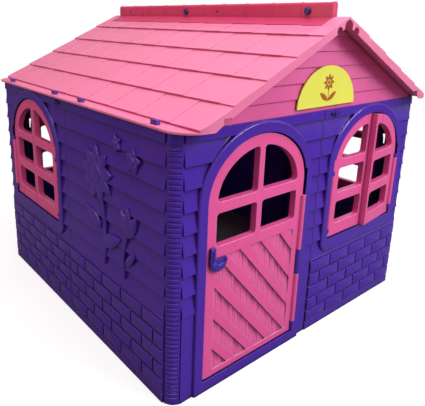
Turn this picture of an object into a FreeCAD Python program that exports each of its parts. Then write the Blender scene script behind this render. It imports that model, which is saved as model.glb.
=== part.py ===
import FreeCAD, Part
import math
import os

# Moulded plastic playhouse for children: four walls of two panels each between ribbed corner
# posts, two gables and a tiled roof in two halves, all bolted together. A round-topped door
# with a turning latch and four windows with pairs of shutters swing outwards.
# Millimetres. The origin is the centre of the footprint on the ground, +Z is up, and the
# door wall faces -Y. Each wall piece is drawn in a local frame: x to the right as seen from
# outside, y inwards from the outer wall plane, z up from the ground.

Vec = FreeCAD.Vector

# ---- walls
SPAN = 1272.0            # outside width and depth over the corner posts
WALL_H = 852.0           # height of the walls
WALL_T = 4.0             # thickness of the moulded skin and of its rims
RIM_DEPTH = 22.0         # how far the rims of a panel reach inwards from the wall plane
POST_LEG = 34.0          # width of a corner post along each wall, and its outer radius
POST_T = 5.0             # skin of a corner post
POST_RIB_PITCH = 15.5    # height of one of the ribs that run round a corner post
POST_RIB_DEEP = 3.0      # how far the grooves between the ribs go in
POST_RIB_ARC = 62.0      # degrees of the quarter round that the grooves take up
PIECE_GAP = 0.4          # gap between neighbouring wall pieces

# ---- siding boards and bricks
BOARD_TOP = 30.0         # height of the top board that shows below the roof
BOARD_PITCH = 65.3       # height of one board
BOARD_COUNT = 9
BOARD_IN = 3.0           # how far the top of a board lies behind the wall plane
BOARD_OUT = 7.0          # how far its lower edge stands in front of it
BRICK_OUT = 7.0          # face of the bricks in front of the wall plane
BRICK_L = 123.0
BRICK_H = 51.0
BRICK_ROWS = 5
MORTAR_W = 6.0
MORTAR_DEEP = 2.5

# ---- arched openings, their surrounds and the leaves in them
LEAF_HALF = 215.0        # half the width of a door leaf or of a pair of shutters
ARCH_ROOM = 2.0          # between the top of a surround and the top of the wall
SHOULDER_R = 167.0
CROWN_R = 237.0
LEAF_GAP = 5.0           # gap between a leaf and its opening
SURROUND_W = 34.0        # width of the raised surround
SURROUND_OUT = 12.0      # how far it stands in front of the wall plane
BEAD_R = 6.0             # rounding of its outer edge
DOOR_SILL = 38.0         # height of the threshold
DOOR_BOTTOM = 42.0
WINDOW_BOTTOM = 362.0
SILL_H = 50.0            # height of the surround under a window
SILL_CORNER_R = 45.0
STOP_W = 4.0             # reach of the stop lip past the edge of the leaf
STOP_T = 3.4
STOP_GAP = 0.6

LEAF_T = 24.0            # thickness of the door leaf and the shutters
LEAF_OUT = 6.0           # their front face in front of the wall plane
LEAF_SKIN = 5.0
LEAF_RIM = 4.0
FRAME_W = 35.0           # stiles and arch of a leaf
PANE_R = 12.0            # corner radius of the window holes
MEETING_GAP = 3.0        # gap between the two shutters of a window
MEETING_STILE = 12.5

# ---- door leaf
DOOR_MULLION = 22.0
DOOR_PANE_LOW = 490.0
DOOR_RAIL_LOW = 596.0
DOOR_RAIL_HIGH = 630.0
FIELD_LOW = 63.0
FIELD_HIGH = 454.0
FIELD_DEEP = 6.0
SLAT_PITCH = 71.0
SLAT_ANGLE = 49.0
SLAT_T = 5.0
SLAT_FLAT = 31.0         # flat part of a slat; the rest slopes back under the next one
FIELD_R = 12.0

# ---- shutter leaf
PANE_RAILS = [(496.0, 531.0), (627.0, 660.0)]
SHUTTER_PANE_LOW = 409.0
SHUTTER_AJAR = 6.0       # degrees that the right front shutter stands open at rest

# ---- hinges
HINGE_OUT = 6.0          # hinge axis in front of the wall plane
HINGE_SIDE = 3.0         # hinge axis outside the edge of the leaf
BARREL_R = 10.5
PIN_R = 3.0
PIN_CLEAR = 0.3
SWING_CLEAR = 1.3        # radial room round a barrel or a knuckle
DOOR_BARRELS = [(81.0, 272.0), (369.0, 569.0)]
DOOR_KNUCKLES = [(45.0, 80.2), (272.8, 368.2)]
DOOR_PIN = (47.0, 562.0)
SHUTTER_BARREL = (400.0, 604.0)
GROOVE_R = 8.0
KNUCKLE_R = 7.5          # small knuckles at the ends of a shutter's barrel
KNUCKLE_H = 16.0
KNUCKLE_GAP = 0.8

# ---- latch
LATCH_IN = 22.0          # shaft from the free edge of the door
LATCH_Z = 440.0
LATCH_T = 10.0
LATCH_ARM = 55.0
LATCH_W = 28.0
LATCH_CLEAR = 1.0        # from the turning lever to the surround
LATCH_BEND = 26.0
LATCH_R = 7.0
LATCH_SOFT = 2.0
LATCH_RIB = 3.0
LATCH_GAP = 0.5
SHAFT_R = 8.0
SHAFT_CLEAR = 0.4
TONGUE_REACH = 40.0
TONGUE_W = 18.0
TONGUE_T = 4.2
TONGUE_GAP = 0.8

# ---- gables
GABLE_PITCH = 48.5       # height of one board of a gable
GABLE_COUNT = 5
GABLE_IN = 1.0
GABLE_OUT = 3.0
GABLE_DEPTH = 18.0
GABLE_CUT = 61.0         # from the corner of the house to the cut-off corner of a gable
GABLE_GAP = 0.6          # between the gable and the roof sheet
PLATE_HALF = 157.0
PLATE_H = 134.0
PLATE_LIFT = 15.0        # lower edge of the plate above the wall
PEG_LIFT = 30.0
PLATE_T = 5.0
PEG_R = 3.0
PEG_X = 100.0

# ---- roof
EAVE_RISE = 7.0          # top of the eave above the wall
SLOPE = 0.49             # fall per unit of width
ROOF_T = 4.0
EAVE_OUT = 14.0          # overhang of the eaves
VERGE_OUT = 60.0         # overhang of the verges
ROOF_CORNER_R = 90.0
EAVE_FLAT = 56.0         # width of the flat eave below the slope
VERGE_W = 56.0           # width of the verge strips outside the tiled field
FASCIA_H = 24.0
FASCIA_END = 156.0       # from the eave to the lower end of the sloping fascia
NOTCH_END = 129.0        # from the eave to the end of the notch below it
LIP_FLAT = 102.0         # from the eave to where the lip rests on the wall
COURSE = 135.0           # length of a tile course down the slope
TILES = 8                # tiles in a course
TILE_THIN = 1.0
TILE_THICK = 5.0
VERGE_THIN = 3.5
VERGE_THICK = 7.5
TILE_JOINT = 2.5
SEAT_W = 23.0            # seat of the eave on top of a side wall
SEAT_CUT = 76.0          # from the corner of the house to the end of the seat
TAB_NEAR = 105.0         # middle of the first eave tab from the middle of the side wall
TAB_CORNER = 98.0        # middle of the second one from the corner of the house
TAB_W = 30.0
TAB_T = 12.0
TAB_IN = 4.0
TAB_H = 20.0             # how far a tab stands up through the eave
TAB_CLEAR = 0.6
SCALLOP_R = 22.0
SCALLOP_SIDE_R = 15.0

# ---- ridge
CAP_HALF = 11.0          # half the width of the ridge crest
CAP_H = 48.5             # height of the crest above the ridge
CAP_T = 3.0
CAP_FLANGE = 60.0        # length of the cap's flange down the slope
CAP_RIM = 8.0
CAP_RIM_OUT = 1.5
CAP_RIB_PITCH = 128.0
UPSTAND_T = 3.0
UPSTAND_H = 32.0
BOLT_IN = 98.0           # ridge bolt from the end of its cap
BOLT_R = 5.0
BOLT_HEAD_R = 12.0
BOLT_HEAD_H = 7.0
FIT = 0.3

# ---- panel bolts
PANEL_BOLT_Z = [180.0, 700.0]
PANEL_BOLT_R = 4.0
PANEL_BOLT_HEAD_R = 8.0
PANEL_BOLT_HEAD_H = 4.0
PANEL_BOLT_Y = 14.0

# ---- hooks beside the panel joints
HOOK_X = 56.0            # middle of a hook from the joint
HOOK_LOW = 16.0          # hook from the top of the wall
HOOK_L = 44.0
HOOK_H = 11.0
HOOK_OUT = 11.0
HOOK_KNOB = 3.0
HOOK_PEG_R = 3.0

# ---- worked out from the above
BOARD_FIRST = WALL_H - BOARD_TOP
ARCH_LIFT = math.sqrt((CROWN_R - SHOULDER_R) ** 2 - (LEAF_HALF - SHOULDER_R) ** 2)
SPRING_Z = WALL_H - ARCH_ROOM - LEAF_GAP - SURROUND_W - CROWN_R + ARCH_LIFT
LATCH_X = LATCH_IN - LEAF_HALF
LATCH_LOW = LATCH_IN + LEAF_GAP - LATCH_CLEAR
TAB_Y = [TAB_NEAR, SPAN / 2 - TAB_CORNER]
TAB_TOP = WALL_H + TAB_H
HOOK_Z = WALL_H - HOOK_LOW
GABLE_HALF = SPAN / 2 - GABLE_CUT
PLATE_Z = WALL_H + PLATE_LIFT
ROOF_HALF_W = SPAN / 2 + EAVE_OUT
ROOF_HALF_L = SPAN / 2 + VERGE_OUT
EAVE_FOLD = ROOF_HALF_W - EAVE_FLAT
EAVE_Z = WALL_H + EAVE_RISE
RIDGE_Z = EAVE_Z + SLOPE * EAVE_FOLD
FIELD_HALF_L = ROOF_HALF_L - VERGE_W
CAP_TOP = RIDGE_Z + CAP_H
PANEL_W = (SPAN - 2 * POST_LEG - 3 * PIECE_GAP) / 2
PANEL_MID = (PANEL_W + PIECE_GAP) / 2
OPENING_HALF = LEAF_HALF + LEAF_GAP
SURROUND_GROW = LEAF_GAP + SURROUND_W
HINGE_X = LEAF_HALF + HINGE_SIDE
WINDOW_SILL = WINDOW_BOTTOM - LEAF_GAP
LEAF_BACK = LEAF_T - LEAF_OUT
COS_SLOPE = 1 / math.sqrt(1 + SLOPE * SLOPE)
SIN_SLOPE = SLOPE * COS_SLOPE
BIG = 2000.0


# ---------------------------------------------------------------- plain shapes

def box(x0, x1, y0, y1, z0, z1):
    return Part.makeBox(x1 - x0, y1 - y0, z1 - z0, Vec(x0, y0, z0))


def rod(x, y, z, radius, length, direction):
    return Part.makeCylinder(radius, length, Vec(x, y, z), direction)


def post_rod(x, y, radius, z0, z1):
    return rod(x, y, z0, radius, z1 - z0, Vec(0, 0, 1))


def prism_y(points, y0, y1):
    wire = Part.makePolygon([Vec(x, y0, z) for x, z in points + points[:1]])
    return Part.Face(wire).extrude(Vec(0, y1 - y0, 0))


def prism_x(points, x0, x1):
    wire = Part.makePolygon([Vec(x0, y, z) for y, z in points + points[:1]])
    return Part.Face(wire).extrude(Vec(x1 - x0, 0, 0))


def fuse(shapes):
    result = shapes[0]
    if len(shapes) > 1:
        result = result.fuse(shapes[1:])
    return result.removeSplitter()


def cut(shape, tools):
    return shape.cut(tools).removeSplitter()


def round_edges(shape, radius, keep):
    edges = [edge for edge in shape.Edges if keep(edge)]
    return shape.makeFillet(radius, edges)


def rises(edge):
    """True for every edge above the ground, so that a foot standing on it stays square."""
    return edge.BoundBox.ZMax > 0.1


def runs_along_y(edge):
    ends = [v.Point for v in edge.Vertexes]
    if len(ends) != 2:
        return False
    return abs(ends[0].x - ends[1].x) < 0.01 and abs(ends[0].z - ends[1].z) < 0.01


def on_wall(shape, side, middle):
    """Set a locally drawn wall piece on side 0 front, 1 right, 2 back or 3 left."""
    placed = shape.copy()
    placed.translate(Vec(middle, -SPAN / 2, 0))
    placed.rotate(Vec(0, 0, 0), Vec(0, 0, 1), 90 * side)
    return placed


# ---------------------------------------------------------------- the arch

def arch_face(grow, bottom, y, corner=0.0):
    """Round-topped outline: a crown arc and two shoulder arcs that meet tangentially."""
    half = LEAF_HALF + grow
    shoulder_x = LEAF_HALF - SHOULDER_R
    crown_z = SPRING_Z - ARCH_LIFT
    turn = math.atan2(ARCH_LIFT, shoulder_x)
    shoulder_r = SHOULDER_R + grow
    crown_r = CROWN_R + grow

    def shoulder(sign, angle):
        return Vec(sign * (shoulder_x + shoulder_r * math.cos(angle)), y,
                   SPRING_Z + shoulder_r * math.sin(angle))

    edges = [
        Part.Arc(shoulder(-1, 0), shoulder(-1, turn / 2), shoulder(-1, turn)).toShape(),
        Part.Arc(shoulder(-1, turn), Vec(0, y, crown_z + crown_r), shoulder(1, turn)).toShape(),
        Part.Arc(shoulder(1, turn), shoulder(1, turn / 2), shoulder(1, 0)).toShape(),
    ]
    if corner > 0:
        mid = corner * (1 - math.sqrt(0.5))
        right = [Vec(half, y, bottom + corner), Vec(half - mid, y, bottom + mid),
                 Vec(half - corner, y, bottom)]
        left = [Vec(-p.x, y, p.z) for p in reversed(right)]
        edges.append(Part.LineSegment(shoulder(1, 0), right[0]).toShape())
        edges.append(Part.Arc(*right).toShape())
        edges.append(Part.LineSegment(right[2], left[0]).toShape())
        edges.append(Part.Arc(*left).toShape())
        edges.append(Part.LineSegment(left[2], shoulder(-1, 0)).toShape())
    else:
        corners = [shoulder(1, 0), Vec(half, y, bottom), Vec(-half, y, bottom), shoulder(-1, 0)]
        for start, end in zip(corners, corners[1:]):
            edges.append(Part.LineSegment(start, end).toShape())
    return Part.Face(Part.Wire(edges))


def arch(grow, bottom, y0, y1, corner=0.0):
    return arch_face(grow, bottom, y0, corner).extrude(Vec(0, y1 - y0, 0))


# ---------------------------------------------------------------- wall panels

def board_edges():
    return [BOARD_FIRST - BOARD_PITCH * i for i in range(BOARD_COUNT)]


def wall_section(inset, bricks=True):
    """Side view of the wall's outer face as (y, z), or of the face that lies inset behind it."""
    edges = [low + inset for low in board_edges()]
    front = inset - BOARD_OUT
    back = inset + BOARD_IN
    ledge = board_edges()[-1] - MORTAR_W / 2 - inset
    points = [(front + 3.0, WALL_H + 10), (front, edges[0]), (back, edges[0])]
    for low in edges[1:]:
        points.append((front, low))
        points.append((back, low))
    groove = inset - BRICK_OUT + MORTAR_DEEP
    points[-1] = (groove, edges[-1])
    points.append((groove, ledge))
    out = BRICK_OUT if bricks else BRICK_OUT / 2
    points.append((inset - out, ledge - MORTAR_W / 2))
    points.append((inset - out, -10.0))
    points.append((BIG, -10.0))
    points.append((BIG, WALL_H + 10))
    return points


def wall_skin(bricks=True):
    """A panel of siding over bricks, moulded hollow from behind with a rim all round."""
    half = PANEL_W / 2
    block = prism_x(wall_section(0, bricks), -half, half)
    block = block.common(box(-half, half, -50, RIM_DEPTH, 0, WALL_H))
    hollow = prism_x(wall_section(WALL_T, bricks), -half + WALL_T, half - WALL_T)
    hollow = hollow.common(box(-half, half, -50, BIG, WALL_T, WALL_H - WALL_T))
    return cut(block, [hollow])


def mortar(half):
    """Grooves between the bricks, each row shifted by half a brick."""
    front = -BRICK_OUT - 1
    back = -BRICK_OUT + MORTAR_DEEP
    top = board_edges()[-1] - 2 * MORTAR_W
    grooves = [box(-half - 1, half + 1, front, back, top - MORTAR_W / 2, top + MORTAR_W / 2)]
    for row in range(BRICK_ROWS):
        low = top - BRICK_H * (row + 1)
        grooves.append(box(-half - 1, half + 1, front, back, low - MORTAR_W / 2, low + MORTAR_W / 2))
        x = -half + BRICK_L * (0.5 if row % 2 else 1.0)
        while x < half - BRICK_L / 4:
            grooves.append(box(x - MORTAR_W / 2, x + MORTAR_W / 2, front, back, low, low + BRICK_H))
            x += BRICK_L
    return grooves


def eave_tabs(side_of_joint):
    """The two square tabs on top of a side wall's panel that the eave drops over."""
    tabs = []
    for y in TAB_Y:
        x = side_of_joint * (y - PANEL_MID)
        tabs.append(box(x - TAB_W / 2, x + TAB_W / 2, TAB_IN, TAB_IN + TAB_T, WALL_H - WALL_T, TAB_TOP))
    return tabs


def bolt_holes():
    half = PANEL_W / 2
    holes = []
    for z in PANEL_BOLT_Z:
        holes.append(rod(-half - 1, PANEL_BOLT_Y, z, PANEL_BOLT_R + FIT, WALL_T + 2, Vec(1, 0, 0)))
        holes.append(rod(half - WALL_T - 1, PANEL_BOLT_Y, z, PANEL_BOLT_R + FIT, WALL_T + 2, Vec(1, 0, 0)))
    return holes


def surround(sill, outer_bottom, corner):
    """Hollow raised frame round an opening, open at the back, with a stop lip inside."""
    front = -SURROUND_OUT
    ring = arch(SURROUND_GROW, outer_bottom, front, RIM_DEPTH, corner)
    ring = round_edges(ring, BEAD_R, lambda edge: edge.BoundBox.YMax < front + 0.1 and rises(edge))
    inner_corner = max(corner - WALL_T, 0)
    channel = arch(SURROUND_GROW - WALL_T, outer_bottom + WALL_T, front + WALL_T, BIG, inner_corner)
    liner = arch(LEAF_GAP + WALL_T, sill - WALL_T, front, BIG)
    ring = ring.cut(channel.cut(liner))
    return cut(ring, [arch(LEAF_GAP, sill, -BIG, BIG)])


def stop_lip(sill, low):
    back = LEAF_BACK + STOP_GAP
    lip = arch(LEAF_GAP + 1, sill - 1, back, back + STOP_T)
    return lip.cut(arch(-STOP_W, low, back - 1, back + STOP_T + 1))


def hinge_trough(x, z0, z1):
    """Wall of the pocket in the surround that a hinge barrel lies in."""
    outer = post_rod(x, -HINGE_OUT, BARREL_R + SWING_CLEAR + 3, z0 - 3, z1 + 3)
    return outer.common(box(-BIG, BIG, -SURROUND_OUT, BIG, 0, BIG))


def hinge_room(x, z0, z1):
    return post_rod(x, -HINGE_OUT, BARREL_R + SWING_CLEAR, z0, z1)


def swing_groove(x, z0):
    """Groove above the barrel, where the arch leans in over the edge of the swinging leaf."""
    return post_rod(x, -HINGE_OUT, GROOVE_R, z0, SPRING_Z + GROOVE_R * 5)


def knuckle(x, radius, z0, z1):
    """Fixed hinge knuckle that grows out of the surround."""
    sign = 1 if x > 0 else -1
    inside = sign * x
    body = post_rod(x, -HINGE_OUT, radius, z0, z1)
    arm = box(inside, OPENING_HALF + WALL_T, -SURROUND_OUT, -HINGE_OUT + radius, z0, z1)
    if sign < 0:
        arm = arm.mirror(Vec(0, 0, 0), Vec(1, 0, 0))
    return [body, arm]


def door_panel():
    """Siding round the door, with smooth strips beside its lower part in place of bricks."""
    sleeve = arch(SURROUND_GROW - 1, 0, -BIG, BIG)
    panel = wall_skin(False).cut(sleeve)
    ring = surround(DOOR_SILL, 0, 0)
    room = []
    trough = []
    for z0, z1 in DOOR_BARRELS:
        trough.append(hinge_trough(HINGE_X, z0, z1))
        room.append(hinge_room(HINGE_X, z0 - 0.6, z1 + 0.6))
    opening = arch(LEAF_GAP, DOOR_SILL, -BIG, BIG)
    trough = [t.cut(opening) for t in trough]
    room.append(swing_groove(HINGE_X, DOOR_BARRELS[-1][1]))
    panel = fuse([panel, ring, stop_lip(DOOR_SILL, DOOR_SILL - 5)] + trough)
    panel = cut(panel, room + bolt_holes())
    knuckles = []
    for z0, z1 in DOOR_KNUCKLES:
        knuckles += knuckle(HINGE_X, BARREL_R, z0, z1)
    panel = fuse([panel] + knuckles)
    bore = post_rod(HINGE_X, -HINGE_OUT, PIN_R + PIN_CLEAR, DOOR_PIN[0] - 0.5, DOOR_PIN[1])
    return cut(panel, [bore])


def window_panel(side_of_joint, tabs):
    half = PANEL_W / 2
    skin = cut(wall_skin(), mortar(half))
    outer_bottom = WINDOW_SILL - SILL_H
    sleeve = arch(SURROUND_GROW - 1, outer_bottom + 1, -BIG, BIG, SILL_CORNER_R - 1)
    panel = skin.cut(sleeve)
    ring = surround(WINDOW_SILL, outer_bottom, SILL_CORNER_R)
    z0, z1 = SHUTTER_BARREL
    opening = arch(LEAF_GAP, WINDOW_SILL, -BIG, BIG)
    solids = [panel, ring, stop_lip(WINDOW_SILL, WINDOW_BOTTOM + STOP_W)]
    room = []
    knuckles = []
    bores = []
    for x in (-HINGE_X, HINGE_X):
        solids.append(hinge_trough(x, z0 - KNUCKLE_H, z1 + KNUCKLE_H).cut(opening))
        room.append(hinge_room(x, z0 - 0.6, z1 + 0.6))
        room.append(swing_groove(x, z1))
        knuckles += knuckle(x, KNUCKLE_R, z0 - KNUCKLE_GAP - KNUCKLE_H, z0 - KNUCKLE_GAP)
        knuckles += knuckle(x, KNUCKLE_R, z1 + KNUCKLE_GAP, z1 + KNUCKLE_GAP + KNUCKLE_H)
        bores.append(post_rod(x, -HINGE_OUT, PIN_R + PIN_CLEAR, z0 - KNUCKLE_H + 2.5, z1 + KNUCKLE_H - 2.5))
    if tabs:
        solids += eave_tabs(side_of_joint)
    panel = cut(fuse(solids), room + bolt_holes() + [hook_hole(hook_place(side_of_joint))])
    return cut(fuse([panel] + knuckles), bores)


def hook_place(side_of_joint):
    """Middle of a panel hook, in the frame of the panel that it holds."""
    return side_of_joint * (HOOK_X - PANEL_MID)


def hook_hole(x):
    return rod(x, -BIG, HOOK_Z, HOOK_PEG_R + FIT, 2 * BIG, Vec(0, 1, 0))


def panel_hook(x):
    """Hook beside a panel joint, just under the roof: a bar on the top board with a peg."""
    bar = box(x - HOOK_L / 2, x + HOOK_L / 2, -HOOK_OUT, 5, HOOK_Z - HOOK_H / 2, HOOK_Z + HOOK_H / 2)
    bar = round_edges(bar, HOOK_H / 2 - 0.5, runs_along_y)
    knob = rod(x, -HOOK_OUT - HOOK_KNOB, HOOK_Z, HOOK_H * 0.7, HOOK_KNOB + 4, Vec(0, 1, 0))
    bar = fuse([bar, knob]).cut(prism_x(wall_section(-0.2), x - HOOK_L, x + HOOK_L))
    peg = rod(x, -BOARD_OUT - 1, HOOK_Z, HOOK_PEG_R, BOARD_OUT + WALL_T + 2, Vec(0, 1, 0))
    return fuse([bar, peg])


def plain_panel(side_of_joint, tabs):
    half = PANEL_W / 2
    solids = [cut(wall_skin(), mortar(half))]
    if tabs:
        solids += eave_tabs(side_of_joint)
    return cut(fuse(solids), bolt_holes())


# ---------------------------------------------------------------- corner posts

def post_grooves():
    """Rings of ribs with a steep underside and a sloping top, like stacked shingles."""
    leg = POST_LEG
    count = int((WALL_H - 2 * POST_RIB_PITCH) / POST_RIB_PITCH)
    start = (WALL_H - count * POST_RIB_PITCH) / 2
    deep = leg - POST_RIB_DEEP
    section = [(leg + 5, start)]
    for i in range(count):
        low = start + i * POST_RIB_PITCH
        section.append((leg, low))
        section.append((deep, low + POST_RIB_DEEP / 2))
        section.append((leg, low + POST_RIB_PITCH * 0.45))
    section.append((leg, start + count * POST_RIB_PITCH))
    section.append((leg + 5, start + count * POST_RIB_PITCH))
    wire = Part.makePolygon([Vec(r, 0, z) for r, z in section + section[:1]])
    ring = Part.Face(wire).revolve(Vec(0, 0, 0), Vec(0, 0, 1), POST_RIB_ARC)
    ring.rotate(Vec(0, 0, 0), Vec(0, 0, 1), 225 - POST_RIB_ARC / 2)
    ring.translate(Vec(leg, leg, 0))
    return ring


def corner_post():
    """Front left corner: a rounded shell with a flange behind each neighbouring panel rim."""
    leg = POST_LEG
    sector = Part.makeCylinder(leg, WALL_H, Vec(leg, leg, 0), Vec(0, 0, 1), 90)
    sector.rotate(Vec(leg, leg, 0), Vec(0, 0, 1), 180)
    hollow = Part.makeCylinder(leg - POST_T, WALL_H, Vec(leg, leg, 0), Vec(0, 0, 1), 90)
    hollow.rotate(Vec(leg, leg, 0), Vec(0, 0, 1), 180)
    shell = sector.cut(hollow)
    along_front = box(leg - WALL_T, leg, 0, RIM_DEPTH, 0, WALL_H).common(sector)
    along_side = box(0, RIM_DEPTH, leg - WALL_T, leg, 0, WALL_H).common(sector)
    post = fuse([shell.cut(post_grooves()), along_front, along_side])
    holes = []
    for z in PANEL_BOLT_Z:
        holes.append(rod(leg - WALL_T - 1, PANEL_BOLT_Y, z, PANEL_BOLT_R + FIT, WALL_T + 2, Vec(1, 0, 0)))
        holes.append(rod(PANEL_BOLT_Y, leg - WALL_T - 1, z, PANEL_BOLT_R + FIT, WALL_T + 2, Vec(0, 1, 0)))
    post = cut(post, holes)
    post.translate(Vec(-SPAN / 2, -SPAN / 2, 0))
    return post


def hexagon(x, z):
    """Hexagonal head or nut of a panel bolt."""
    corners = []
    for i in range(6):
        angle = math.radians(60 * i)
        y = PANEL_BOLT_Y + PANEL_BOLT_HEAD_R * math.cos(angle)
        corners.append((y, z + PANEL_BOLT_HEAD_R * math.sin(angle)))
    return prism_x(corners, x, x + PANEL_BOLT_HEAD_H)


def panel_bolt(x, z):
    """Plastic bolt through two neighbouring rims, with a hexagonal head and nut."""
    reach = WALL_T + PIECE_GAP / 2
    shank = rod(x - reach - 1, PANEL_BOLT_Y, z, PANEL_BOLT_R, 2 * reach + 2, Vec(1, 0, 0))
    gap = reach + 0.2
    head = hexagon(x - gap - PANEL_BOLT_HEAD_H, z)
    nut = hexagon(x + gap, z)
    return fuse([shank, head, nut])


def panel_bolts():
    bolts = []
    for side in range(4):
        for z in PANEL_BOLT_Z:
            bolts.append(on_wall(panel_bolt(0, z), side, 0))
            edge = SPAN / 2 - POST_LEG - PIECE_GAP / 2
            bolts.append(on_wall(panel_bolt(-edge, z), side, 0))
            bolts.append(on_wall(panel_bolt(edge, z), side, 0))
    return Part.Compound(bolts)


# ---------------------------------------------------------------- leaves

def pane(x0, x1, z0, z1, grow):
    """Window hole with round corners; the arch of the leaf cuts its top."""
    reach = 2 * LEAF_T
    hole = box(x0 - grow, x1 + grow, -reach, reach, z0 - grow, z1 + grow)
    hole = hole.common(arch(-FRAME_W + grow, min(z0, SPRING_Z) - grow - 10, -reach, reach))
    return round_edges(hole, PANE_R + grow, runs_along_y)


def hollow_leaf(body, core, panes, pane_walls):
    """Tray moulding: a front skin with rims round its outline and round each window hole."""
    pocket = core.cut(pane_walls)
    return cut(body, [pocket] + panes)


def leaf_barrels(leaf, x, zones, knuckle_r, knuckle_zones, pin):
    """Add the hinge barrels of a leaf, make room for the fixed knuckles and bore for the pin."""
    within = leaf_zone(x)
    solids = [leaf]
    reliefs = []
    for z0, z1 in knuckle_zones:
        boss = post_rod(x, -HINGE_OUT, knuckle_r + SWING_CLEAR + LEAF_RIM, z0 - LEAF_RIM, z1 + LEAF_RIM)
        solids.append(boss.common(within))
        reliefs.append(post_rod(x, -HINGE_OUT, knuckle_r + SWING_CLEAR, z0 - 0.4, z1 + 0.4))
    leaf = cut(fuse(solids), reliefs)
    barrels = [post_rod(x, -HINGE_OUT, BARREL_R, z0, z1) for z0, z1 in zones]
    leaf = fuse([leaf] + barrels)
    return cut(leaf, [post_rod(x, -HINGE_OUT, PIN_R + PIN_CLEAR, pin[0] - 1, pin[1] + 1)])


def leaf_zone(x):
    sign = 1 if x > 0 else -1
    zone = box(0, LEAF_HALF, -LEAF_OUT, LEAF_BACK, 0, BIG)
    if sign < 0:
        zone = zone.mirror(Vec(0, 0, 0), Vec(1, 0, 0))
    return zone


def slats():
    """Diagonal boards that fill the lower field of the door, lapped like shingles."""
    middle = (FIELD_LOW + FIELD_HIGH) / 2
    floor = -LEAF_OUT + FIELD_DEEP
    reach = 400.0
    rows = 4
    boards = []
    for i in range(-rows, rows):
        low = i * SLAT_PITCH
        section = [(floor, low), (floor - SLAT_T, low + 1), (floor - SLAT_T - 0.5, low + SLAT_FLAT - 3),
                   (floor - SLAT_T + 1, low + SLAT_FLAT), (floor - 0.5, low + SLAT_PITCH),
                   (floor + 1, low + SLAT_PITCH), (floor + 1, low)]
        board = prism_x(section, -reach, reach)
        board.rotate(Vec(0, 0, 0), Vec(0, 1, 0), SLAT_ANGLE)
        board.translate(Vec(0, 0, middle))
        boards.append(board)
    return boards


def door_leaf():
    pane_half = LEAF_HALF - FRAME_W
    mid = DOOR_MULLION / 2
    body = arch(0, DOOR_BOTTOM, -LEAF_OUT, LEAF_BACK, 6.0)
    core = arch(-LEAF_RIM, DOOR_BOTTOM + LEAF_RIM, -LEAF_OUT + LEAF_SKIN, BIG, 3.0)
    holes = []
    walls = []
    for sign in (-1, 1):
        x0, x1 = sorted((sign * mid, sign * pane_half))
        for z0, z1 in ((DOOR_PANE_LOW, DOOR_RAIL_LOW), (DOOR_RAIL_HIGH, BIG)):
            holes.append(pane(x0, x1, z0, z1, 0))
            walls.append(pane(x0, x1, z0, z1, LEAF_RIM))
    leaf = hollow_leaf(body, core, holes, walls)
    tray_back = -LEAF_OUT + FIELD_DEEP + LEAF_RIM
    tray = box(-pane_half - 4, pane_half + 4, -LEAF_OUT + 1, tray_back, FIELD_LOW - 4, FIELD_HIGH + 4)
    field = box(-pane_half, pane_half, -2 * LEAF_T, -LEAF_OUT + FIELD_DEEP, FIELD_LOW, FIELD_HIGH)
    field = round_edges(field, FIELD_R, runs_along_y)
    boss = rod(LATCH_X, -LEAF_OUT, LATCH_Z, SHAFT_R + SHAFT_CLEAR + 4, LEAF_T, Vec(0, 1, 0))
    leaf = cut(fuse([leaf, tray, boss]), [field])
    leaf = fuse([leaf] + [slat.common(field) for slat in slats()])
    shaft_hole = rod(LATCH_X, -BIG, LATCH_Z, SHAFT_R + SHAFT_CLEAR, 2 * BIG, Vec(0, 1, 0))
    leaf = cut(leaf, [shaft_hole])
    return leaf_barrels(leaf, HINGE_X, DOOR_BARRELS, BARREL_R, DOOR_KNUCKLES, DOOR_PIN)


def shutter(sign):
    """One shutter: sign -1 is the left one of a window, +1 the right one."""
    inner = MEETING_GAP / 2
    half_space = box(inner, BIG, -BIG, BIG, 0, BIG)
    core_space = box(inner + LEAF_RIM, BIG, -BIG, BIG, 0, BIG)
    body = arch(0, WINDOW_BOTTOM, -LEAF_OUT, LEAF_BACK, 5.0).common(half_space)
    core = arch(-LEAF_RIM, WINDOW_BOTTOM + LEAF_RIM, -LEAF_OUT + LEAF_SKIN, BIG, 3.0).common(core_space)
    x0 = inner + MEETING_STILE
    x1 = LEAF_HALF - FRAME_W
    lows = [SHUTTER_PANE_LOW] + [high for low, high in PANE_RAILS]
    highs = [low for low, high in PANE_RAILS] + [BIG]
    holes = [pane(x0, x1, z0, z1, 0) for z0, z1 in zip(lows, highs)]
    walls = [pane(x0, x1, z0, z1, LEAF_RIM) for z0, z1 in zip(lows, highs)]
    leaf = hollow_leaf(body, core, holes, walls)
    z0, z1 = SHUTTER_BARREL
    zones = [(z0 - KNUCKLE_GAP - KNUCKLE_H, z0 - KNUCKLE_GAP),
             (z1 + KNUCKLE_GAP, z1 + KNUCKLE_GAP + KNUCKLE_H)]
    leaf = leaf_barrels(leaf, HINGE_X, [SHUTTER_BARREL], KNUCKLE_R, zones, (z0 - 30, z1 + 30))
    if sign < 0:
        leaf = leaf.mirror(Vec(0, 0, 0), Vec(1, 0, 0))
    return leaf


def shutter_pin(x):
    z0, z1 = SHUTTER_BARREL
    return post_rod(x, -HINGE_OUT, PIN_R, z0 - KNUCKLE_H + 3, z1 + KNUCKLE_H - 3)


# ---------------------------------------------------------------- latch

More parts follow.
